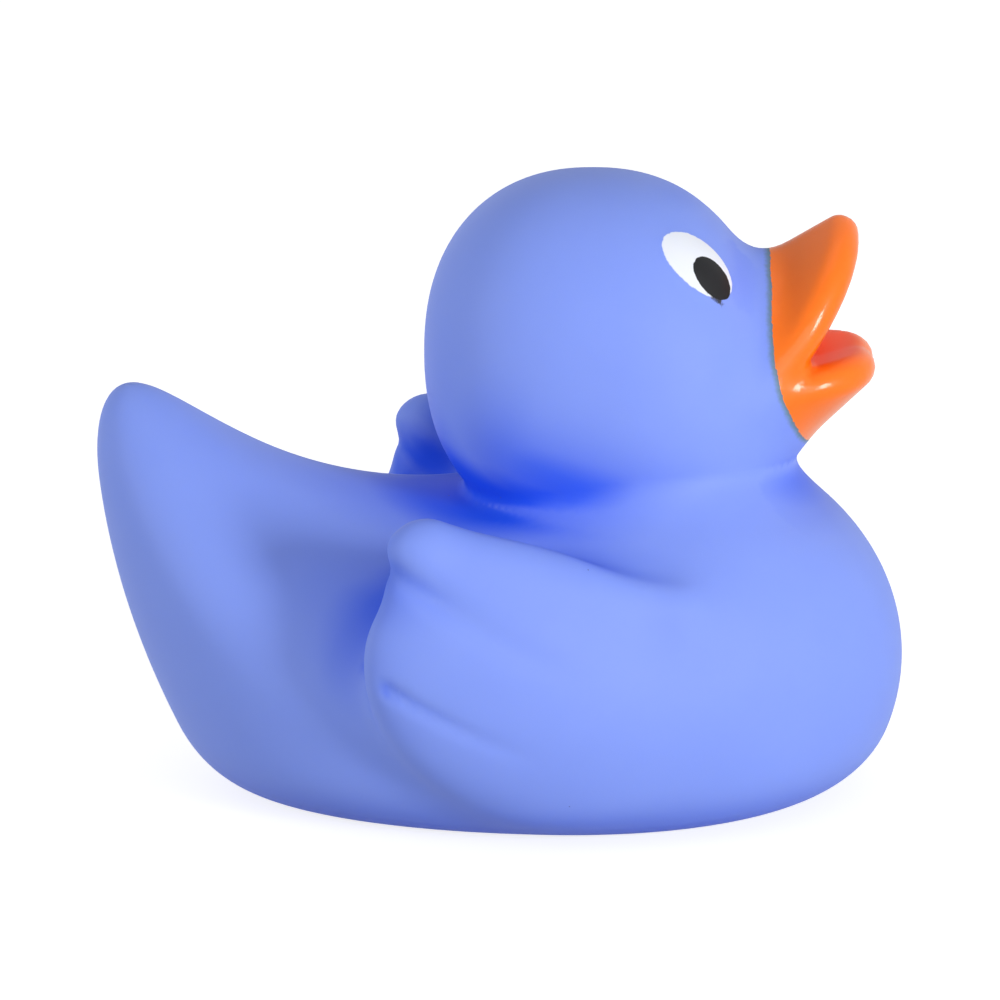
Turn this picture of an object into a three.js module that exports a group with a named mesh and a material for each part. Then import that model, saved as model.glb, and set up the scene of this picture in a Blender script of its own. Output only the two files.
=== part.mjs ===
// A bath duck cast in soft vinyl: body, wings, head and open bill are one sealed piece.
// Millimetres, +Z up, +X towards the bill. The two sides mirror each other across y = 0.
// Lengths along X below are taken from midship, where the hull is widest.
import * as THREE from 'three';

// Hull: an oval in plan at every height, with a leaning stern and a round chest
const hullBeam = 57.4;
const beamHeight = 15;
const hullBelow = 28.5;
const hullAbove = 27.8;
const chestReach = 34.5;
const chestHeight = 14.6;
const chestRoundX = 27;
const chestRoundZ = 23.5;
const sternFoot = 38.2;
const sternTop = 50.6;
const tailHeight = 40;
const tailSpread = 14;
const sternBulge = 2.8;
const baseRound = 7.6;
const steepestTurn = 0.97;
const sternLowest = -0.2;
const sternHighest = 1.3;

// Back: a hollow arc that runs up to the tail and falls away to the sides
const backHeight = 33.3;
const backRadius = 39;
const backLowest = 17;
const backFallRadius = 21.9;
const backEdgeRound = 12;
const napeHollow = 0.9;
const napeFlatness = 25;
const napeSetback = 10;
const napeSpread = 12;

// Head and cheeks
const headLength = 35.3;
const headBreadth = 35.2;
const headHeight = 38.2;
const headSquareness = 2.25;
const headForward = 1.7;
const neckSink = 5.2;
const napeBlend = 1;
const throatBlend = 6;
const cheekLength = 21.4;
const cheekBreadth = 27;
const cheekHeight = 28;
const cheekSetback = 9.6;
const cheekDrop = 6.8;
const cheekBlend = 9;

// Bill: each half is a fan of tapered fingers from a wide root to a round lip.
// Lengths along X are taken from the face, heights from the middle of the head.
const mouthHalfWidth = 9.6;
const mouthCornerSetback = 0.8;
const mouthCornerDrop = 3;
const mouthCornerRadius = 2.2;
const upperRootSetback = 4.5;
const upperRootRadius = 6.4;
const upperRootCornerRadius = 4.6;
const upperRootHalfWidth = 6;
const upperRootFall = 5;
const upperTipReach = 8;
const upperTipRise = 12.5;
const upperLipRadius = 2;
const upperLipBow = 10;
const upperLipBowRise = 9.1;
const lowerRootSetback = 6;
const lowerRootDrop = 11.3;
const lowerRootRadius = 6.6;
const lowerRootCornerRadius = 6.2;
const lowerRootHalfWidth = 5.5;
const lowerRootLift = 3.8;
const lowerTipReach = 9.8;
const lowerTipDrop = 1.2;
const lowerLipRadius = 1.8;
const lowerLipBow = 9.4;
const lowerLipBowAhead = 1.5;
const lowerLipBowDrop = 0.6;
const lipFingers = 24;
const billBlend = 1.2;
const faceBlend = 4.4;

// Eyes: low oval bosses set on the head by two angles from its middle
const eyeAroundDeg = 45.5;
const eyeUpDeg = 37.1;
const eyeLength = 10;
const eyeBreadth = 7;
const eyeProud = 0.5;
const eyeDepth = 2;
const eyeSlantDeg = 31;
const eyeBlend = 0.6;

// Wings: a splayed oval blade with a raised top feather and two grooves on its outer face
const bladeLength = 33.8;
const bladeThickness = 12.6;
const bladeHeight = 26;
const bladeTiltDeg = 22.8;
const bladeSplayDeg = 13;
const bladeSetback = 5.8;
const bladeSink = 2.7;
const bladeMiddleHeight = 18.6;
const featherBackInset = 2.7;
const featherBackRise = 8.2;
const featherBackOut = -0.2;
const featherBackRadius = 4.4;
const featherFrontInset = 5.6;
const featherFrontRise = 12.4;
const featherFrontOut = 1.9;
const featherFrontRadius = 1.2;
const featherFlatness = 0.8;
const featherBlend = 3;
const upperGrooveRise = 6.3;
const upperGrooveFall = 3;
const upperGrooveDepth = 0.6;
const upperGrooveWidth = 1.5;
const lowerGrooveDrop = 4.4;
const lowerGrooveFall = 2;
const lowerGrooveDepth = 0.6;
const lowerGrooveWidth = 0.75;
const lowerGrooveRearGap = 2.2;
const grooveRun = 21;
const grooveFade = 0.7;
const wingBlend = 5.5;

// Mesh cells: coarse on the hull, fine where the bill and eyes need it
const coarseCell = 2.7;
const fineCell = 1.9;
const eveningPasses = 6;
const settlingSteps = 4;
const seatingSteps = 60;
const steepest = 0.25;
const tiny = 1e-6;

const vinyl = new THREE.MeshStandardMaterial({ color: 0x7b92ea, roughness: 0.55, metalness: 0 });

const midship = 0;
const headX = midship + headForward;
const headZ = backHeight + headHeight / 2 - neckSink;
const faceX = headX + headLength / 2;
const chestTip = midship + chestReach;

// Joins two distances with a round fillet, or cuts one by the other with a round edge
function blend(a, b, radius) {
  const near = Math.max(radius - Math.abs(a - b), 0) / radius;
  return Math.min(a, b) - near * near * radius / 4;
}

function trim(a, b, radius) {
  return -blend(-a, -b, radius);
}

// Distance to an oval whose half sizes are along the axes of the given offsets
function oval(dx, dy, dz, rx, ry, rz) {
  const reach = Math.hypot(dx / rx, dy / ry, dz / rz);
  const slope = Math.hypot(dx / rx ** 2, dy / ry ** 2, dz / rz ** 2);
  return reach * (reach - 1) / Math.max(slope, tiny);
}

// Distance to the skin stretched over two balls, with y flattened about the first one
function finger(x, y, z, a, b, radiusA, radiusB, flatness = 1) {
  const ax = b.x - a.x;
  const ay = (b.y - a.y) / flatness;
  const az = b.z - a.z;
  const px = x - a.x;
  const py = (y - a.y) / flatness;
  const pz = z - a.z;
  const length2 = ax * ax + ay * ay + az * az;
  const along = (px * ax + py * ay + pz * az) / length2;
  const off = Math.hypot(px - ax * along, py - ay * along, pz - az * along);
  const taper = radiusA - radiusB;
  const lean = taper / Math.sqrt(Math.max(length2 - taper * taper, tiny) * length2);
  const t = THREE.MathUtils.clamp(along - off * lean, 0, 1);
  const gap = Math.hypot(px - ax * t, py - ay * t, pz - az * t);
  return (gap - radiusA + taper * t) * flatness;
}

function hullDistance(x, y, z) {
  const up = THREE.MathUtils.clamp(z / tailHeight, sternLowest, sternHighest);
  const lean = sternFoot + (sternTop - sternFoot) * up + sternBulge * 4 * up * (1 - up);
  const chestTurn = THREE.MathUtils.clamp((z - chestHeight) / chestRoundZ, -steepestTurn, steepestTurn);
  const chest = chestTip - chestRoundX * (1 - Math.sqrt(1 - chestTurn * chestTurn));
  const aft = THREE.MathUtils.clamp((midship - x) / sternTop, 0, 1);
  const beamTurn = (z - beamHeight) / (z > beamHeight ? hullAbove + tailSpread * aft * aft : hullBelow);
  const beam = hullBeam / 2 * Math.sqrt(1 - Math.min(Math.abs(beamTurn), steepestTurn) ** 2);
  const reach = x > midship ? chest - midship : lean;
  return oval(x - midship, y, 0, reach, beam, 1);
}

function bodyDistance(x, y, z) {
  const nape = Math.exp(-(((x - midship + napeSetback) / napeSpread) ** 2));
  const fall = y * y / (2 * (backFallRadius + napeFlatness * nape));
  const drop = Math.max(backHeight + backRadius - napeHollow * nape - z - fall, 0);
  const back = backRadius - Math.hypot(x - midship + backLowest, drop);
  return trim(trim(hullDistance(x, y, z), back, backEdgeRound), -z, baseRound);
}

function headDistance(x, y, z) {
  const n = headSquareness;
  const rx = headLength / 2;
  const ry = headBreadth / 2;
  const rz = headHeight / 2;
  const dx = Math.abs(x - headX) / rx;
  const dy = Math.abs(y) / ry;
  const dz = Math.abs(z - headZ) / rz;
  const reach = Math.max((dx ** n + dy ** n + dz ** n) ** (1 / n), tiny);
  const slope = Math.hypot(dx ** (n - 1) / rx, dy ** (n - 1) / ry, dz ** (n - 1) / rz) / reach ** (n - 1);
  const skull = (reach - 1) / Math.max(slope, tiny);
  const cheeks = oval(x - faceX + cheekSetback, y, z - headZ + cheekDrop,
    cheekLength / 2, cheekBreadth / 2, cheekHeight / 2);
  return blend(skull, cheeks, cheekBlend);
}

// One half of the bill, as fingers spread from the middle of the lip to the mouth corner
function billHalf(root, rootRadius, rootCornerRadius, rootHalfWidth, rootLift, tip, bow, lipRadius) {
  const corner = new THREE.Vector3(faceX - mouthCornerSetback, mouthHalfWidth, headZ - mouthCornerDrop);
  const lip = new THREE.QuadraticBezierCurve3(tip, bow, corner);
  const fingers = [];
  for (let i = 0; i <= lipFingers; i += 1) {
    const t = i / lipFingers;
    fingers.push({
      from: root.clone().add(new THREE.Vector3(0, rootHalfWidth * t, rootLift * t)),
      to: lip.getPoint(t),
      fromRadius: THREE.MathUtils.lerp(rootRadius, rootCornerRadius, t),
      toRadius: THREE.MathUtils.lerp(lipRadius, mouthCornerRadius, t),
    });
  }
  return (x, y, z) => {
    let nearest = Infinity;
    for (const { from, to, fromRadius, toRadius } of fingers) {
      nearest = Math.min(nearest, finger(x, y, z, from, to, fromRadius, toRadius));
    }
    return nearest;
  };
}

const upperTip = new THREE.Vector3(faceX + upperTipReach, 0, headZ + upperTipRise);
const upperBow = new THREE.Vector3(upperTip.x, upperLipBow, headZ + upperLipBowRise);
const upperBill = billHalf(
  new THREE.Vector3(faceX - upperRootSetback, 0, headZ),
  upperRootRadius, upperRootCornerRadius, upperRootHalfWidth, -upperRootFall,
  upperTip, upperBow, upperLipRadius);

const lowerTip = new THREE.Vector3(faceX + lowerTipReach, 0, headZ - lowerTipDrop);
const lowerBow = new THREE.Vector3(lowerTip.x + lowerLipBowAhead, lowerLipBow, headZ - lowerLipBowDrop);
const lowerBill = billHalf(
  new THREE.Vector3(faceX - lowerRootSetback, 0, headZ - lowerRootDrop),
  lowerRootRadius, lowerRootCornerRadius, lowerRootHalfWidth, lowerRootLift,
  lowerTip, lowerBow, lowerLipRadius);

function faceDistance(x, y, z) {
  const bill = blend(upperBill(x, y, z), lowerBill(x, y, z), billBlend);
  return blend(headDistance(x, y, z), bill, faceBlend);
}

// Slope of a distance function, by central differences
function slopeOf(distance, p, step = 0.02) {
  return new THREE.Vector3(
    distance(p.x + step, p.y, p.z) - distance(p.x - step, p.y, p.z),
    distance(p.x, p.y + step, p.z) - distance(p.x, p.y - step, p.z),
    distance(p.x, p.y, p.z + step) - distance(p.x, p.y, p.z - step)).divideScalar(2 * step);
}

// The eye sits where a line from the middle of the head leaves its skin
function placeEye() {
  const around = THREE.MathUtils.degToRad(eyeAroundDeg);
  const up = THREE.MathUtils.degToRad(eyeUpDeg);
  const look = new THREE.Vector3(
    Math.cos(around) * Math.cos(up), Math.sin(around) * Math.cos(up), Math.sin(up));
  const seat = new THREE.Vector3(headX, 0, headZ);
  for (let i = 0; i < seatingSteps; i += 1) {
    seat.addScaledVector(look, -headDistance(seat.x, seat.y, seat.z));
  }
  const out = slopeOf(headDistance, seat).normalize();
  const slant = THREE.MathUtils.degToRad(eyeSlantDeg);
  const long = new THREE.Vector3(Math.cos(slant), 0, -Math.sin(slant)).projectOnPlane(out).normalize();
  const middle = seat.addScaledVector(out, eyeProud - eyeDepth);
  return { middle, out, long, short: out.clone().cross(long) };
}

const eye = placeEye();

function eyeDistance(x, y, z) {
  const p = new THREE.Vector3(x, y, z).sub(eye.middle);
  return oval(p.dot(eye.long), p.dot(eye.short), p.dot(eye.out), eyeLength / 2, eyeBreadth / 2, eyeDepth);
}

// Wing axes: forward along the blade, out from the hull, and up across the feathers
const bladeTurn = new THREE.Matrix4().makeRotationZ(-THREE.MathUtils.degToRad(bladeSplayDeg))
  .multiply(new THREE.Matrix4().makeRotationY(THREE.MathUtils.degToRad(bladeTiltDeg)));
const bladeMiddle = new THREE.Vector3(midship - bladeSetback, hullBeam / 2 - bladeSink, bladeMiddleHeight);
const toBlade = new THREE.Matrix4().makeTranslation(bladeMiddle).multiply(bladeTurn).invert();
const featherBack = new THREE.Vector3(
  featherBackInset - bladeLength / 2, featherBackOut, featherBackRise);
const featherFront = new THREE.Vector3(
  bladeLength / 2 - featherFrontInset, featherFrontOut, featherFrontRise);

// Both grooves sink from the rear edge of the blade and fade out as they run forward and down.
// The lower one begins clear of the edge.
const grooves = [
  { rise: upperGrooveRise, fall: upperGrooveFall, depth: upperGrooveDepth, width: upperGrooveWidth,
    rearGap: -bladeLength / 2 },
  { rise: -lowerGrooveDrop, fall: lowerGrooveFall, depth: lowerGrooveDepth, width: lowerGrooveWidth,
    rearGap: lowerGrooveRearGap },
];

function grooveCut({ rise, fall, depth, width, rearGap }, fromRear, up) {
  const left = THREE.MathUtils.clamp(1 - fromRear / grooveRun, 0, 1);
  const line = rise - fall * (1 - left * left);
  const begun = THREE.MathUtils.clamp(fromRear - rearGap, 0, 1);
  return depth * begun * left ** grooveFade * Math.exp(-(((up - line) / width) ** 2));
}

function wingDistance(x, y, z) {
  const p = new THREE.Vector3(x, y, z).applyMatrix4(toBlade);
  const blade = oval(p.x, p.y, p.z, bladeLength / 2, bladeThickness / 2, bladeHeight / 2);
  const feather = finger(p.x, p.y, p.z, featherFront, featherBack,
    featherFrontRadius, featherBackRadius, featherFlatness);
  let skin = blend(blade, feather, featherBlend);
  for (const groove of grooves) {
    skin += grooveCut(groove, p.x + bladeLength / 2, p.z);
  }
  return skin;
}

function duckDistance(x, side, z) {
  const y = Math.abs(side);
  const head = blend(faceDistance(x, y, z), eyeDistance(x, y, z), eyeBlend);
  const body = blend(bodyDistance(x, y, z), wingDistance(x, y, z), wingBlend);
  const towardsThroat = THREE.MathUtils.clamp((x - headX) / headLength + 0.5, 0, 1);
  return blend(head, body, THREE.MathUtils.lerp(napeBlend, throatBlend, towardsThroat));
}

// Grid planes between two ends, fine from one place on and coarse before it
function planes(start, fineFrom, end) {
  const places = [start];
  while (places.at(-1) < end) {
    places.push(places.at(-1) + (places.at(-1) < fineFrom ? coarseCell : fineCell));
  }
  return places;
}

// Mirrored planes, half a cell clear of the middle: fine as far as the given width
function sidePlanes(fineTo, end) {
  const half = [fineCell / 2];
  while (half.at(-1) < end) {
    half.push(half.at(-1) + (half.at(-1) < fineTo ? fineCell : coarseCell));
  }
  return [...half.map((v) => -v).reverse(), ...half];
}

// The closed skin of a distance function: one vertex in each cell that the skin crosses
// and one four-sided face round each grid edge that it cuts, evened out and drawn onto it
function skinOf(distance, xs, ys, zs) {
  const [nx, ny, nz] = [xs.length, ys.length, zs.length];
  const at = (i, j, k) => (i * ny + j) * nz + k;
  const depth = new Float64Array(nx * ny * nz);
  for (let i = 0; i < nx; i += 1) {
    for (let j = 0; j < ny; j += 1) {
      for (let k = 0; k < nz; k += 1) {
        depth[at(i, j, k)] = distance(xs[i], ys[j], zs[k]);
      }
    }
  }
  closePinches(depth, at, nx, ny, nz);

  const vertexOf = new Map();
  const points = [];
  const vertex = (i, j, k) => {
    const cell = at(i, j, k);
    if (!vertexOf.has(cell)) {
      vertexOf.set(cell, points.length);
      points.push(middleOfCrossings(depth, at, xs, ys, zs, i, j, k));
    }
    return vertexOf.get(cell);
  };
  const quads = [];
  const face = (a, b, c, d, outward) => quads.push(outward ? [a, b, c, d] : [a, d, c, b]);
  for (let i = 1; i < nx - 1; i += 1) {
    for (let j = 1; j < ny - 1; j += 1) {
      for (let k = 1; k < nz - 1; k += 1) {
        const here = depth[at(i, j, k)] < 0;
        if (here !== depth[at(i + 1, j, k)] < 0) {
          face(vertex(i, j - 1, k - 1), vertex(i, j, k - 1), vertex(i, j, k), vertex(i, j - 1, k), here);
        }
        if (here !== depth[at(i, j + 1, k)] < 0) {
          face(vertex(i - 1, j, k - 1), vertex(i - 1, j, k), vertex(i, j, k), vertex(i, j, k - 1), here);
        }
        if (here !== depth[at(i, j, k + 1)] < 0) {
          face(vertex(i - 1, j - 1, k), vertex(i, j - 1, k), vertex(i, j, k), vertex(i - 1, j, k), here);
        }
      }
    }
  }
  evenOut(distance, points, quads);

  const geometry = new THREE.BufferGeometry();
  geometry.setFromPoints(points);
  geometry.setIndex(quads.flatMap((quad) => splitQuad(points, quad)));
  return geometry;
}

// Counts grid points as inside where the skin would meet itself along an edge
function closePinches(depth, at, nx, ny, nz) {
  const axes = [[1, 0, 0], [0, 1, 0], [0, 0, 1]];
  let changed = true;
  while (changed) {
    changed = false;
    for (let i = 0; i < nx - 1; i += 1) {
      for (let j = 0; j < ny - 1; j += 1) {
        for (let k = 0; k < nz - 1; k += 1) {
          for (let n = 0; n < 3; n += 1) {
            const [u, v] = [axes[n], axes[(n + 1) % 3]];
            const corners = [
              at(i, j, k),
              at(i + u[0], j + u[1], k + u[2]),
              at(i + u[0] + v[0], j + u[1] + v[1], k + u[2] + v[2]),
              at(i + v[0], j + v[1], k + v[2]),
            ];
            const [a, b, c, d] = corners.map((corner) => depth[corner] < 0);
            if (a === c && b === d && a !== b) {
              for (const corner of corners) depth[corner] = -Math.abs(depth[corner]) - fineCell / 100;
              changed = true;
            }
          }
        }
      }
    }
  }
}

// The mean of the places where the skin cuts a cell's twelve edges
function middleOfCrossings(depth, at, xs, ys, zs, i, j, k) {
  const sum = new THREE.Vector3();
  let count = 0;
  const cross = (ends) => {
    const [p, q] = ends.map(([u, v, w]) => new THREE.Vector3(xs[i + u], ys[j + v], zs[k + w]));
    const [from, to] = ends.map(([u, v, w]) => depth[at(i + u, j + v, k + w)]);
    if (from < 0 === to < 0) return;
    sum.add(p.lerp(q, from / (from - to)));
    count += 1;
  };
  for (const u of [0, 1]) {
    for (const v of [0, 1]) {
      cross([[0, u, v], [1, u, v]]);
      cross([[u, 0, v], [u, 1, v]]);
      cross([[u, v, 0], [u, v, 1]]);
    }
  }
  return sum.divideScalar(count);
}

// Slides each vertex towards the middle of its neighbours, then back onto the skin
function evenOut(distance, points, quads) {
  const neighbours = points.map(() => new Set());
  for (const quad of quads) {
    quad.forEach((p, n) => {
      neighbours[p].add(quad[(n + 1) % 4]);
      neighbours[p].add(quad[(n + 3) % 4]);
    });
  }
  for (let pass = 0; pass < eveningPasses; pass += 1) {
    const targets = points.map((p, n) => {
      const mean = new THREE.Vector3();
      for (const m of neighbours[n]) mean.addScaledVector(points[m], 1 / neighbours[n].size);
      return mean;
    });
    points.forEach((p, n) => drawOnto(distance, p.lerp(targets[n], 0.5)));
  }
}

function drawOnto(distance, p) {
  for (let i = 0; i < settlingSteps; i += 1) {
    const slope = slopeOf(distance, p);
    const move = distance(p.x, p.y, p.z) / Math.max(slope.lengthSq(), steepest);
    p.addScaledVector(slope, -THREE.MathUtils.clamp(move, -fineCell / 4, fineCell / 4));
  }
}

// Two triangles, cut along the quad's shorter diagonal
function splitQuad(points, [a, b, c, d]) {
  if (points[a].distanceToSquared(points[c]) < points[b].distanceToSquared(points[d])) {
    return [a, b, c, a, c, d];
  }
  return [a, b, d, b, c, d];
}

const margin = 2 * coarseCell;
const skin = skinOf(
  duckDistance,
  planes(midship - sternTop - margin, faceX - lowerRootSetback, faceX + lowerTipReach + chestReach),
  sidePlanes(mouthHalfWidth + mouthCornerRadius, hullBeam / 2 + bladeThickness + margin),
  planes(-margin, headZ - lowerRootDrop, headZ + headHeight / 2 + margin));

// The origin is the middle of the footprint, on the surface that the duck stands on
skin.computeBoundingBox();
const middle = skin.boundingBox.getCenter(new THREE.Vector3());
skin.translate(-middle.x, -middle.y, -skin.boundingBox.min.z);
skin.computeVertexNormals();

const duck = new THREE.Group();
const body = new THREE.Mesh(skin, vinyl);
body.name = 'duck_body';
duck.add(body);

export default duck;
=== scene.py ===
import math
import bpy
import numpy as np
from mathutils import Matrix, Vector


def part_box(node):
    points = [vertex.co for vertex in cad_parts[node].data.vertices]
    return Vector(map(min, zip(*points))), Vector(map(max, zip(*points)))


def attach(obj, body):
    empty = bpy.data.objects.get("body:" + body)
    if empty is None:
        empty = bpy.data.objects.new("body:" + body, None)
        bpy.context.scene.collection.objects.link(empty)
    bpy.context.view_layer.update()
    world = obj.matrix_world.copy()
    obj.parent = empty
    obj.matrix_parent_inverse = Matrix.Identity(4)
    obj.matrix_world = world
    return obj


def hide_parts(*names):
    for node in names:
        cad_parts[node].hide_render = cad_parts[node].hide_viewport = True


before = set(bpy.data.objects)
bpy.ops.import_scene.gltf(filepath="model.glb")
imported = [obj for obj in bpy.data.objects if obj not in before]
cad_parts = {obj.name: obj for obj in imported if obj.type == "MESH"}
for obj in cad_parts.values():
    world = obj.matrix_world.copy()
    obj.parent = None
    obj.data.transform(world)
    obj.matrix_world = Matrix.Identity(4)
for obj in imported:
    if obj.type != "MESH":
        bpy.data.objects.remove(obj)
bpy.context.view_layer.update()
mm = 0.001  # shapes are worked out in millimetres from midship, and put in metres at the end
print("frame loaded:", len(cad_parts), "node")


# Distances: negative inside, zero on the skin
tiny, small = 1e-9, 1e-6  # keep divisions and roots off zero


def blend(a, b, radius):  # joins two shapes with a round fillet
    near = np.maximum(radius - np.abs(a - b), 0) / radius
    return np.minimum(a, b) - near * near * radius / 4


def trim(a, b, radius):  # cuts one shape by another with a round edge
    return -blend(-a, -b, radius)


def oval(dx, dy, dz, rx, ry, rz):
    reach = np.sqrt((dx / rx) ** 2 + (dy / ry) ** 2 + (dz / rz) ** 2)
    slope = np.sqrt((dx / rx ** 2) ** 2 + (dy / ry ** 2) ** 2 + (dz / rz ** 2) ** 2)
    return reach * (reach - 1) / np.maximum(slope, tiny)


def finger(x, y, z, a, b, radiusA, radiusB, flatness=1.0):  # skin stretched over two balls
    ax, ay, az = b[0] - a[0], (b[1] - a[1]) / flatness, b[2] - a[2]
    px, py, pz = x - a[0], (y - a[1]) / flatness, z - a[2]
    length2 = ax * ax + ay * ay + az * az
    along = (px * ax + py * ay + pz * az) / length2
    off = np.sqrt((px - ax * along) ** 2 + (py - ay * along) ** 2 + (pz - az * along) ** 2)
    taper = radiusA - radiusB
    lean = taper / math.sqrt(max(length2 - taper * taper, small) * length2)
    t = np.clip(along - off * lean, 0, 1)
    gap = np.sqrt((px - ax * t) ** 2 + (py - ay * t) ** 2 + (pz - az * t) ** 2)
    return (gap - radiusA + taper * t) * flatness


# Hull: an oval in plan at every height, with a leaning stern and a round chest
hull = {
    "beam": 57.4, "beamHeight": 15, "below": 28.5, "above": 27.8,
    "chestReach": 34.5, "chestHeight": 14.6, "chestRoundX": 27, "chestRoundZ": 23.5,
    "sternFoot": 38.2, "sternTop": 50.6, "tailHeight": 40, "tailSpread": 14, "sternBulge": 2.8,
    "baseRound": 7.6, "steepest": 0.97,
    "sternRunsFrom": -0.2, "sternRunsTo": 1.3,  # shares of the tail's height
}

# Back: a hollow arc that runs up to the tail and falls away to the sides
back = {
    "height": 33.3, "radius": 39, "lowest": 17, "fallRadius": 21.9, "edgeRound": 12,
    "napeHollow": 0.9, "napeFlatness": 25, "napeSetback": 10, "napeSpread": 12,
}


def hullDistance(x, y, z):
    h = hull
    up = np.clip(z / h["tailHeight"], h["sternRunsFrom"], h["sternRunsTo"])
    stern = h["sternFoot"] + (h["sternTop"] - h["sternFoot"]) * up + h["sternBulge"] * 4 * up * (1 - up)
    turn = np.clip((z - h["chestHeight"]) / h["chestRoundZ"], -h["steepest"], h["steepest"])
    chest = h["chestReach"] - h["chestRoundX"] * (1 - np.sqrt(1 - turn * turn))
    aft = np.clip(-x / h["sternTop"], 0, 1)
    rise = np.where(z > h["beamHeight"], h["above"] + h["tailSpread"] * aft * aft, h["below"])
    beamTurn = np.minimum(np.abs((z - h["beamHeight"]) / rise), h["steepest"])
    beam = h["beam"] / 2 * np.sqrt(1 - beamTurn ** 2)
    return oval(x, y, 0 * z, np.where(x > 0, chest, stern), beam, 1)


def bodyDistance(x, y, z):
    nape = np.exp(-((x + back["napeSetback"]) / back["napeSpread"]) ** 2)
    fall = y * y / (2 * (back["fallRadius"] + back["napeFlatness"] * nape))
    drop = np.maximum(back["height"] + back["radius"] - back["napeHollow"] * nape - z - fall, 0)
    hollow = back["radius"] - np.sqrt((x + back["lowest"]) ** 2 + drop ** 2)
    return trim(trim(hullDistance(x, y, z), hollow, back["edgeRound"]), -z, hull["baseRound"])


# Head: a slightly square ball with full cheeks
head = {
    "length": 35.3, "breadth": 35.2, "height": 38.2, "squareness": 2.25, "forward": 1.7,
    "neckSink": 5.2, "napeBlend": 1, "throatBlend": 6,
    "cheekLength": 21.4, "cheekBreadth": 27, "cheekHeight": 28,
    "cheekSetback": 9.6, "cheekDrop": 6.8, "cheekBlend": 9,
}
headX = head["forward"]
headZ = back["height"] + head["height"] / 2 - head["neckSink"]
faceX = headX + head["length"] / 2


def headDistance(x, y, z):
    n = head["squareness"]
    half = head["length"] / 2, head["breadth"] / 2, head["height"] / 2
    away = [np.abs(d) / r for d, r in zip((x - headX, y, z - headZ), half)]
    reach = np.maximum(sum(a ** n for a in away) ** (1 / n), small)
    slope = np.sqrt(sum((a ** (n - 1) / r) ** 2 for a, r in zip(away, half))) / reach ** (n - 1)
    skull = (reach - 1) / np.maximum(slope, small)
    cheeks = oval(x - faceX + head["cheekSetback"], y, z - headZ + head["cheekDrop"],
                  head["cheekLength"] / 2, head["cheekBreadth"] / 2, head["cheekHeight"] / 2)
    return blend(skull, cheeks, head["cheekBlend"])


# Bill: each half is a fan of tapered fingers from a wide root to a round lip.
# Lengths along X are taken from the face, heights from the middle of the head.
bill = {
    "cornerWidth": 9.6, "cornerSetback": 0.8, "cornerDrop": 3, "cornerRadius": 2.2,
    "lipFingers": 56, "halvesBlend": 1.2, "faceBlend": 4.4, "roomAround": 9,
}
upperBill = {
    "root": (-4.5, 0), "rootRadius": 6.4, "rootCornerRadius": 4.6,
    "rootHalfWidth": 6, "rootLift": -5,
    "tip": (8, 12.5), "lipRadius": 2, "bow": (0, 10, 9.1),
}
lowerBill = {
    "root": (-6, -11.3), "rootRadius": 6.6, "rootCornerRadius": 6.2,
    "rootHalfWidth": 5.5, "rootLift": 3.8,
    "tip": (9.8, -1.2), "lipRadius": 1.8, "bow": (1.5, 9.4, -0.6),
}


def billFingers(half):
    tip = np.array([faceX + half["tip"][0], 0, headZ + half["tip"][1]])
    bow = np.array([tip[0] + half["bow"][0], half["bow"][1], headZ + half["bow"][2]])
    corner = np.array([faceX - bill["cornerSetback"], bill["cornerWidth"], headZ - bill["cornerDrop"]])
    for t in np.linspace(0, 1, bill["lipFingers"] + 1):
        rootHeight = headZ + half["root"][1] + half["rootLift"] * t
        root = faceX + half["root"][0], half["rootHalfWidth"] * t, rootHeight
        lip = (1 - t) ** 2 * tip + 2 * t * (1 - t) * bow + t * t * corner
        rootRadius = half["rootRadius"] + (half["rootCornerRadius"] - half["rootRadius"]) * t
        yield root, lip, rootRadius, half["lipRadius"] + (bill["cornerRadius"] - half["lipRadius"]) * t


fans = [list(billFingers(half)) for half in (upperBill, lowerBill)]


def billDistance(x, y, z):
    farAway = 99.0
    room = bill["roomAround"]
    ends = np.array([end for fan in fans for root, lip, _, _ in fan for end in (root, lip)])
    low, high = ends.min(0) - room, ends.max(0) + room
    near = (x > low[0]) & (y < high[1]) & (z > low[2]) & (z < high[2])
    nx, ny, nz = x[near], y[near], z[near]
    halves = [nx, nx]  # empty, where no point is near the bill
    if near.any():
        halves = [np.min([finger(nx, ny, nz, *f) for f in fan], axis=0) for fan in fans]
    distance = np.full(x.shape, farAway)
    distance[near] = blend(*halves, bill["halvesBlend"])
    return distance


# Eyes: low oval bosses, set on the head by two angles from its middle
eye = {
    "aroundDeg": 45.5, "upDeg": 37.1, "slantDeg": 31, "seatingSteps": 60,
    "length": 10, "breadth": 7, "proud": 0.5, "depth": 2, "blend": 0.6,
    "whiteLength": 9.2, "whiteBreadth": 6.15,
    "pupilLength": 5.46, "pupilBreadth": 3.78, "pupilForward": 1.89, "pupilDrop": 0.57,
    "smudgeLength": 2.4, "smudgeBreadth": 0.7, "smudgeForward": 3.3, "smudgeDrop": 2.05,
}


def slopeOf(distance, p, step=0.02):
    slope = np.empty_like(p)
    for i in range(3):
        move = step * np.eye(3)[i]
        slope[:, i] = (distance(*(p + move).T) - distance(*(p - move).T)) / (2 * step)
    return slope


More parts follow.
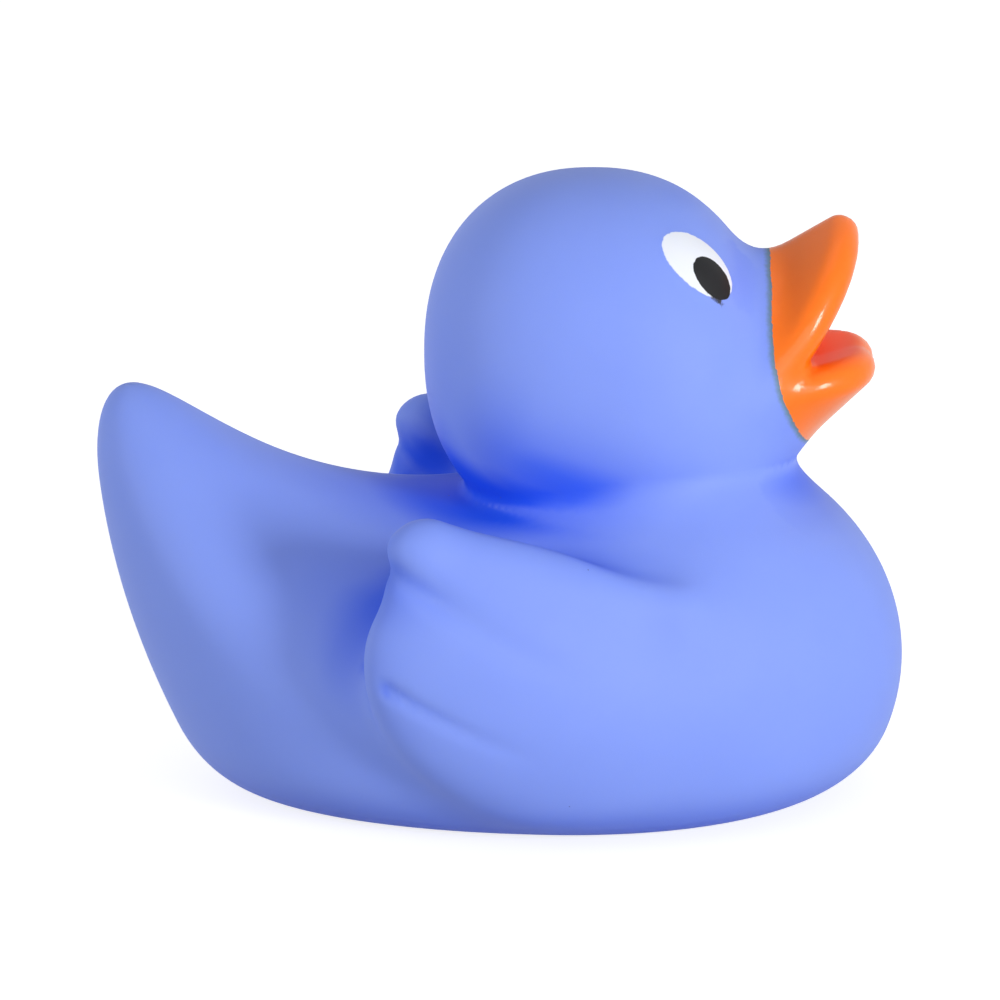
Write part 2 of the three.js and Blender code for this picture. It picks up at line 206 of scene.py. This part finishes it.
def eyeAxes():
    around, up, slant = (math.radians(eye[k]) for k in ("aroundDeg", "upDeg", "slantDeg"))
    look = np.array([math.cos(around) * math.cos(up), math.sin(around) * math.cos(up), math.sin(up)])
    seat = np.array([[headX, 0, headZ]])
    for _ in range(eye["seatingSteps"]):
        seat = seat - look * headDistance(*seat.T)[:, None]
    out = slopeOf(headDistance, seat)[0]
    out /= np.linalg.norm(out)
    long = np.array([math.cos(slant), 0, -math.sin(slant)])
    long -= out * long.dot(out)
    long /= np.linalg.norm(long)
    return seat[0], np.array([long, np.cross(long, out), out])


eyeSeat, eyeTurn = eyeAxes()


def inEye(x, y, z):  # along the eye, up across it, and out of the head
    return eyeTurn @ np.array([x - eyeSeat[0], y - eyeSeat[1], z - eyeSeat[2]])


def eyeDistance(x, y, z):
    along, across, out = inEye(x, y, z)
    return oval(along, across, out - eye["proud"] + eye["depth"],
                eye["length"] / 2, eye["breadth"] / 2, eye["depth"])


# Wings: a splayed oval blade with a raised top feather and two grooves on its outer face
wing = {
    "length": 33.8, "thickness": 12.6, "height": 26, "tiltDeg": 22.8, "splayDeg": 13,
    "setback": 5.8, "sink": 2.7, "middleHeight": 18.6,
    "featherBack": (2.7, -0.2, 8.2), "featherBackRadius": 4.4,
    "featherFront": (5.6, 1.9, 12.4), "featherFrontRadius": 1.2,
    "featherFlatness": 0.8, "featherBlend": 3,
    "hullBlend": 5.5, "grooveRun": 21, "grooveFade": 0.7,
}
grooves = [
    {"rise": 6.3, "fall": 3, "depth": 0.6, "width": 1.5, "rearGap": -5},
    {"rise": -4.4, "fall": 2, "depth": 0.6, "width": 0.75, "rearGap": 2.2},
]
wingPlace = Matrix.Translation((-wing["setback"], hull["beam"] / 2 - wing["sink"], wing["middleHeight"]))
wingTurn = (Matrix.Rotation(-math.radians(wing["splayDeg"]), 4, "Z")
            @ Matrix.Rotation(math.radians(wing["tiltDeg"]), 4, "Y"))
toWing = np.array((wingPlace @ wingTurn).inverted())


def wingDistance(x, y, z):
    forward, out, up = toWing[:3, :3] @ np.array([x, y, z]) + toWing[:3, 3:]
    half = wing["length"] / 2
    blade = oval(forward, out, up, half, wing["thickness"] / 2, wing["height"] / 2)
    rear = np.array(wing["featherBack"]) - (half, 0, 0)
    front = (half - wing["featherFront"][0], *wing["featherFront"][1:])
    feather = finger(forward, out, up, front, rear,
                     wing["featherFrontRadius"], wing["featherBackRadius"], wing["featherFlatness"])
    fromRear = forward + half
    left = np.clip(1 - fromRear / wing["grooveRun"], 0, 1)  # 1 at the rear of a groove, 0 at its front
    skin = blend(blade, feather, wing["featherBlend"])
    for groove in grooves:
        line = groove["rise"] - groove["fall"] * (1 - left * left)
        begun = np.clip(fromRear - groove["rearGap"], 0, 1)
        deep = groove["depth"] * begun * left ** wing["grooveFade"]
        skin = skin + deep * np.exp(-((up - line) / groove["width"]) ** 2)
    return skin


def duckDistance(x, side, z):
    y = np.abs(side)
    face = blend(headDistance(x, y, z), billDistance(x, y, z), bill["faceBlend"])
    top = blend(face, eyeDistance(x, y, z), eye["blend"])
    body = blend(bodyDistance(x, y, z), wingDistance(x, y, z), wing["hullBlend"])
    towardsThroat = np.clip((x - headX) / head["length"] + 0.5, 0, 1)
    neckBlend = head["napeBlend"] + (head["throatBlend"] - head["napeBlend"]) * towardsThroat
    return blend(top, body, neckBlend)


# The skin: one vertex in each grid cell that it crosses, a four-sided face round each grid edge it cuts
skinMesh = {"cell": 0.72, "room": 2.5, "eveningPasses": 4, "settlingSteps": 2, "steepest": 0.25}


def drawOnto(points):  # one step along the slope, onto the skin
    slope = slopeOf(duckDistance, points)
    steepness = np.maximum((slope ** 2).sum(1), skinMesh["steepest"])
    most = skinMesh["cell"] / 2
    move = np.clip(duckDistance(*points.T) / steepness, -most, most)
    return points - slope * move[:, None]


def netSkin():
    cell, room = skinMesh["cell"], skinMesh["room"]
    low, high = (np.array(corner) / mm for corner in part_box("duck_body"))
    reach = hull["sternTop"] + room
    xs = np.arange(-reach, -reach + high[0] - low[0] + 3 * room, cell)
    halfYs = np.arange(cell / 2, high[1] + room, cell)
    zs = np.arange(-room, high[2] + room, cell)
    grid = np.meshgrid(xs, halfYs, zs, indexing="ij")
    side = duckDistance(*(axis.ravel() for axis in grid)).reshape(grid[0].shape)
    depth = np.concatenate([side[:, ::-1], side], axis=1)  # the two sides mirror each other
    origin = np.array([xs[0], -halfYs[-1], zs[0]])

    inside = depth < 0
    nx, ny, nz = (n - 1 for n in depth.shape)
    filled = sum(inside[u:u + nx, v:v + ny, w:w + nz].astype(int)
                 for u in (0, 1) for v in (0, 1) for w in (0, 1))
    cellCorners = 8
    cells = np.argwhere((filled > 0) & (filled < cellCorners))
    number = np.full((nx, ny, nz), -1)
    number[tuple(cells.T)] = np.arange(len(cells))

    total = np.zeros((len(cells), 3))
    cuts = np.zeros((len(cells), 1))
    quads = []
    for axis in range(3):
        step = np.eye(3, dtype=int)[axis]
        u, v = np.eye(3, dtype=int)[[(axis + 1) % 3, (axis + 2) % 3]]
        for start in (0 * u, u, v, u + v):
            here = depth[tuple((cells + start).T)]
            there = depth[tuple((cells + start + step).T)]
            cut = (here < 0) != (there < 0)
            t = here[cut] / (here[cut] - there[cut])
            total[cut] += cells[cut] + start + t[:, None] * step
            cuts[cut] += 1
        first = np.argwhere(np.diff(inside, axis=axis))
        corners = [number[tuple((first - offset).T)] for offset in (u + v, v, 0 * u, u)]
        faces = np.stack(corners, 1)
        inward = ~inside[tuple(first.T)]
        faces[inward] = faces[inward][:, ::-1]
        quads.append(faces)
    return origin + cell * total / cuts, np.concatenate(quads)


def evenOut(points, quads):  # slides each vertex among its neighbours, then back onto the skin
    near = np.concatenate([quads, quads])
    far = np.concatenate([np.roll(quads, 1, axis=1), np.roll(quads, -1, axis=1)])
    count = np.bincount(near.ravel(), minlength=len(points))
    for _ in range(skinMesh["eveningPasses"]):
        mean = [np.bincount(near.ravel(), points[far.ravel(), i], len(points)) / count for i in range(3)]
        points = drawOnto((points + np.stack(mean, 1)) / 2)
    for _ in range(skinMesh["settlingSteps"]):
        points = drawOnto(points)
    return points


# Paint: where the masks end, as millimetres inside each painted field; and the reach of the painted shade
# in creases and close over the floor
paint = {
    "billAhead": 0.75, "billArc": 20.4, "billArcAbove": 4.3, "eyeOnly": -3.0, "farOutside": -9.0,
    "shadeReach": (2, 6, 14), "floorShade": 0.4, "floorFrom": 0.5,
}


def paintedShadeAmount(points):  # painted shade: 0 on open skin, towards 1 in a crease, and a little close over the floor
    out = slopeOf(duckDistance, points)
    out /= np.linalg.norm(out, axis=1)[:, None]
    bodySteepness = np.minimum(np.linalg.norm(slopeOf(bodyDistance, points), axis=1), 1)
    openness = np.zeros(len(points))
    for reach in paint["shadeReach"]:
        x, side, z = (points + reach * out).T
        y = np.abs(side)
        body = bodyDistance(x, y, z) / bodySteepness
        others = [distance(x, y, z) for distance in (headDistance, billDistance, wingDistance)]
        room = np.minimum.reduce([body, *others])
        shaded = paint["floorShade"] * np.clip(paint["floorFrom"] - z / reach, 0, 1)
        openness += np.clip(room / reach, 0, 1) * (1 - shaded)
    return 1 - openness / len(paint["shadeReach"])


def paintFields(points):
    x, y, z = points[:, 0], np.abs(points[:, 1]), points[:, 2]
    drop = np.maximum(headZ + paint["billArcAbove"] - z, 0)
    billEdge = x - (faceX + paint["billAhead"] + drop ** 2 / (2 * paint["billArc"]))
    along, across, out = inEye(x, y, z)
    onEye = out > paint["eyeOnly"]
    white = -oval(along, across, 0 * x, eye["whiteLength"] / 2, eye["whiteBreadth"] / 2, 1)
    pupil = -oval(along - eye["pupilForward"], across + eye["pupilDrop"], 0 * x,
                  eye["pupilLength"] / 2, eye["pupilBreadth"] / 2, 1)
    smudge = -oval(along - eye["smudgeForward"], across + eye["smudgeDrop"], 0 * x,
                   eye["smudgeLength"] / 2, eye["smudgeBreadth"] / 2, 1)
    # hollow is not a paint edge but the amount of painted shade at each point
    edges = {"billEdge": billEdge, "hollow": paintedShadeAmount(points)}
    for name, field in {"whiteEdge": white, "pupilEdge": pupil, "smudgeEdge": smudge}.items():
        edges[name] = np.where(onEye, field, paint["farOutside"])
    return edges


def makeSkin():
    points, quads = netSkin()
    points = evenOut(points, quads)
    fields = paintFields(points)
    low, high = (np.array(corner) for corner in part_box("duck_body"))
    middle = (points.min(0) + points.max(0)) / 2 * mm
    shift = (low + high) / 2 - middle
    shift[2] = low[2] - points[:, 2].min() * mm
    mesh = bpy.data.meshes.new("duck_skin")
    mesh.from_pydata(points * mm + shift, [], quads.tolist())
    for name, values in fields.items():
        mesh.attributes.new(name, "FLOAT", "POINT").data.foreach_set("value", values)
    mesh.shade_smooth()
    skin = bpy.data.objects.new("duck_skin", mesh)
    bpy.context.collection.objects.link(skin)
    print("skin:", len(points), "points,", len(quads), "faces, shifted", (shift / mm).round(3), "mm")
    return skin


# Materials

def linear(hexColour):
    channels = [int(hexColour[i:i + 2], 16) / 255 for i in (1, 3, 5)]
    return [c / 12.92 if c <= 0.04045 else ((c + 0.055) / 1.055) ** 2.4 for c in channels] + [1]


def addNode(tree, kind, inputs=None, **settings):
    node = tree.nodes.new(kind)
    for name, value in settings.items():
        setattr(node, name, value)
    for socket, value in (inputs or {}).items():
        if isinstance(value, bpy.types.NodeSocket):
            tree.links.new(value, node.inputs[socket])
        else:
            node.inputs[socket].default_value = value
    return node


# Soft PVC, rotation cast and left as moulded: matte, with a fine sandy grain, a few dark specks and a
# little light inside it. The bill and eyes are sprayed through masks: the orange is glossy with an
# orange-peel skin, its edge creeps under the mask and a greenish mist lies round it.
# Creases, the skin close over the floor and the inside of the mouth also get painted shade: a deeper blue
# or orange.
vinyl = {
    "blue": "#839bee", "blueDeep": "#7f97ec", "blueCreaseShade": "#2459ea",
    "speck": "#4a5aa8", "mist": "#66828f", "orange": "#fe750a", "orangeMouthShade": "#fb6808",
    "white": "#e4e8f2", "black": "#1d1e21", "smudge": "#3a3c46",
    "patterns": {"ragged": 0.45, "creep": 1.9, "mottle": 9.0, "grain": 0.22, "peel": 0.42},
    "raggedReach": {"bill": 0.34, "white": 0.2, "pupil": 0.12, "smudge": 0.8},
    "softEdge": {"bill": 0.05, "white": 0.06, "pupil": 0.05, "smudge": 0.25},
    "shadeFrom": 0.03, "shadeTo": 0.62, "mistWidth": 0.8,
    "speckSpacing": 5.0, "speckRadius": 0.07, "speckFull": 0.7, "speckEnd": 1.4,
    "grainHeight": 0.0025, "peelHeight": 0.012,
    "vinylRoughness": 0.55, "paintRoughness": 0.45, "eyeRoughness": 0.45,
    "paintGloss": 0.4, "glossRoughness": 0.12, "specularLevel": 0.15, "ior": 1.53,
    "inside": 0.15, "insideReach": (0.4, 0.6, 1.0), "insideDepth": 1.5,
}


def softVinyl():
    v = vinyl
    material = bpy.data.materials.new("softPvcWithSprayedPaint")
    material.use_nodes = True
    tree = material.node_tree
    tree.nodes.clear()
    place = addNode(tree, "ShaderNodeTexCoord").outputs["Object"]
    pattern = {}
    for name, size in v["patterns"].items():
        noise = addNode(tree, "ShaderNodeTexNoise", {"Vector": place, "Scale": 1 / (size * mm)})
        pattern[name] = noise.outputs["Fac"]

    # where each paint lies, its edge moved to and fro by two patterns that add up to about one
    both = addNode(tree, "ShaderNodeMath", {0: pattern["ragged"], 1: pattern["creep"]}, operation="ADD")
    wander = addNode(tree, "ShaderNodeMath", {0: both.outputs[0], 1: 1.0}, operation="SUBTRACT")
    inside, covered = {}, {}
    for name, reach in v["raggedReach"].items():
        edge = addNode(tree, "ShaderNodeAttribute", attribute_name=name + "Edge").outputs["Fac"]
        inside[name] = addNode(tree, "ShaderNodeMath", {0: wander.outputs[0], 1: reach, 2: edge},
                               operation="MULTIPLY_ADD").outputs[0]
        soft = v["softEdge"][name]
        covered[name] = addNode(tree, "ShaderNodeMapRange", {
            "Value": inside[name], "From Min": -soft, "From Max": soft,
        }, interpolation_type="SMOOTHSTEP").outputs[0]
    mist = addNode(tree, "ShaderNodeMapRange", {
        "Value": inside["bill"], "From Min": -v["mistWidth"], "From Max": 0.0,
    }, interpolation_type="SMOOTHSTEP")
    dots = addNode(tree, "ShaderNodeTexVoronoi", {"Vector": place, "Scale": 1 / (v["speckSpacing"] * mm)})
    dotEdge = v["speckRadius"] / v["speckSpacing"]
    speck = addNode(tree, "ShaderNodeMapRange", {
        "Value": dots.outputs["Distance"],
        "From Min": v["speckEnd"] * dotEdge, "From Max": v["speckFull"] * dotEdge,
    })

    # painted shade: by the hollow attribute, creases and the skin close over the floor turn a deeper
    # blue, and the bill inside the mouth a deeper orange
    hollow = addNode(tree, "ShaderNodeAttribute", attribute_name="hollow").outputs["Fac"]
    deep = addNode(tree, "ShaderNodeMapRange", {
        "Value": hollow, "From Min": v["shadeFrom"], "From Max": v["shadeTo"],
    }, interpolation_type="SMOOTHSTEP").outputs[0]
    # painted shade: where the bill paint lies in a crease, inside the mouth, it turns a deeper orange
    mouthShade = addNode(tree, "ShaderNodeMath", {0: covered["bill"], 1: deep},
                      operation="MULTIPLY").outputs[0]
    colour = linear(v["blue"])  # then one coat or painted shade over another
    # the crease blue and the mouth orange among these are painted shade, not coats of paint
    coatsAndPaintedShade = {
        "blueDeep": pattern["mottle"], "blueCreaseShade": deep,
        "speck": speck.outputs[0], "mist": mist.outputs[0],
        "orange": covered["bill"], "orangeMouthShade": mouthShade,
        "white": covered["white"], "smudge": covered["smudge"], "black": covered["pupil"],
    }
    for name, cover in coatsAndPaintedShade.items():
        colour = addNode(tree, "ShaderNodeMix", {0: cover, 6: colour, 7: linear(v[name])},
                         data_type="RGBA").outputs[2]

    roughness = v["vinylRoughness"]
    for cover, rough in ((covered["bill"], v["paintRoughness"]), (covered["white"], v["eyeRoughness"])):
        roughness = addNode(tree, "ShaderNodeMix", {0: cover, 2: roughness, 3: rough},
                            data_type="FLOAT").outputs[0]
    grain = addNode(tree, "ShaderNodeMath", {0: pattern["grain"], 1: v["grainHeight"]},
                    operation="MULTIPLY")
    peel = addNode(tree, "ShaderNodeMath", {0: pattern["peel"], 1: v["peelHeight"]},
                   operation="MULTIPLY")
    height = addNode(tree, "ShaderNodeMix", {0: covered["bill"], 2: grain.outputs[0], 3: peel.outputs[0]},
                     data_type="FLOAT")
    bump = addNode(tree, "ShaderNodeBump", {"Height": height.outputs[0], "Distance": mm, "Strength": 1.0})
    outer = addNode(tree, "ShaderNodeMath", {0: covered["bill"], 1: mouthShade}, operation="SUBTRACT")
    gloss = addNode(tree, "ShaderNodeMath", {0: outer.outputs[0], 1: v["paintGloss"]},
                    operation="MULTIPLY")

    shader = addNode(tree, "ShaderNodeBsdfPrincipled", {
        "Base Color": colour, "Roughness": roughness, "Normal": bump.outputs[0],
        "IOR": v["ior"], "Specular IOR Level": v["specularLevel"],
        "Coat Weight": gloss.outputs[0], "Coat Roughness": v["glossRoughness"],
        "Coat Normal": bump.outputs[0],
        "Subsurface Weight": v["inside"], "Subsurface Radius": v["insideReach"],
        "Subsurface Scale": v["insideDepth"] * mm})
    addNode(tree, "ShaderNodeOutputMaterial", {"Surface": shader.outputs["BSDF"]})
    return material


# Set: a white sweep, a small upright soft box at the camera's right, and broad ones at its left, in
# front and above
studio = {
    "ambient": 0.38, "floorColour": "#c0c0c0", "floorGlow": 0.78, "floorSize": 6.0, "lampsAway": 0.9,
    "lamps": [
        {"name": "softBoxRight", "towards": (0.70, -0.70, 0.16), "size": (0.18, 0.28), "watts": 5.4},
        {"name": "softBoxLeft", "towards": (-0.96, -0.26, 0.10), "size": (0.6, 0.6), "watts": 4.3},
        {"name": "softBoxFront", "towards": (0.26, -0.96, 0.10), "size": (0.6, 0.6), "watts": 2.0},
        {"name": "softBoxTop", "towards": (0, 0, 1), "size": (0.6, 0.6), "watts": 0.5},
    ],
}


def seenDirectly(tree):  # 1 for what the camera, a gloss or a clear thing looks at
    path = addNode(tree, "ShaderNodeLightPath").outputs
    seen = addNode(tree, "ShaderNodeMath", {0: path["Is Camera Ray"], 1: path["Is Glossy Ray"]},
                   operation="MAXIMUM")
    return addNode(tree, "ShaderNodeMath", {0: seen.outputs[0], 1: path["Is Transmission Ray"]},
                   operation="MAXIMUM").outputs[0]


def makeStudio():
    s = studio
    world = bpy.data.worlds.new("whiteTent")
    bpy.context.scene.world = world
    world.use_nodes = True
    tree = world.node_tree
    tree.nodes.clear()
    strength = addNode(tree, "ShaderNodeMapRange", {
        "Value": seenDirectly(tree), "To Min": s["ambient"], "To Max": 1.0,
    }).outputs["Result"]
    sky = addNode(tree, "ShaderNodeBackground", {"Color": (1, 1, 1, 1), "Strength": strength})
    addNode(tree, "ShaderNodeOutputWorld", {"Surface": sky.outputs["Background"]})

    paper = bpy.data.materials.new("paperSweep")
    paper.use_nodes = True
    tree = paper.node_tree
    tree.nodes.clear()
    matte = addNode(tree, "ShaderNodeBsdfDiffuse", {"Color": linear(s["floorColour"])})
    glowing = addNode(tree, "ShaderNodeMath", {0: seenDirectly(tree), 1: s["floorGlow"]},
                      operation="MULTIPLY")
    glow = addNode(tree, "ShaderNodeEmission", {"Strength": glowing.outputs[0]})
    both = addNode(tree, "ShaderNodeAddShader", {0: matte.outputs[0], 1: glow.outputs[0]})
    addNode(tree, "ShaderNodeOutputMaterial", {"Surface": both.outputs[0]})

    half = s["floorSize"] / 2
    mesh = bpy.data.meshes.new("floor")
    corners = [(-half, -half, 0), (half, -half, 0), (half, half, 0), (-half, half, 0)]
    mesh.from_pydata(corners, [], [(0, 1, 2, 3)])
    mesh.materials.append(paper)
    floor = bpy.data.objects.new("floor", mesh)
    bpy.context.collection.objects.link(floor)

    for lamp in s["lamps"]:
        data = bpy.data.lights.new(lamp["name"], "AREA")
        data.shape = "RECTANGLE"
        data.size, data.size_y = lamp["size"]
        data.energy = lamp["watts"]
        box = bpy.data.objects.new(lamp["name"], data)
        direction = Vector(lamp["towards"]).normalized()
        box.location = aim + direction * s["lampsAway"]
        box.rotation_euler = direction.to_track_quat("Z", "Y").to_euler()
        box.visible_camera = False
        bpy.context.collection.objects.link(box)
    print("studio: floor and", len(s["lamps"]), "soft boxes")


# Camera: a little above the duck, square to its side
camera = {
    "aim": (-0.1, 0, 31.1), "elevationDeg": 14.0, "away": 700,
    "pixelsPerMm": 9.5, "sensor": 36, "frame": 1000,
}
aim = Vector(camera["aim"]) * mm


def makeCamera():
    c = camera
    lift = math.radians(c["elevationDeg"])
    data = bpy.data.cameras.new("bench")
    data.sensor_width = c["sensor"]
    data.lens = c["pixelsPerMm"] * c["sensor"] * c["away"] / c["frame"]
    view = bpy.data.objects.new("bench", data)
    direction = Vector((0, -math.cos(lift), math.sin(lift)))
    view.location = aim + direction * c["away"] * mm
    view.rotation_euler = direction.to_track_quat("Z", "Y").to_euler()
    bpy.context.collection.objects.link(view)
    bpy.context.scene.camera = view
    print("camera: lens", round(data.lens, 1), "mm")


makeCamera()
skin = makeSkin()
skin.data.materials.append(softVinyl())
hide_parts("duck_body")
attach(skin, "root")
makeStudio()
bpy.context.scene.view_settings.view_transform = "Standard"
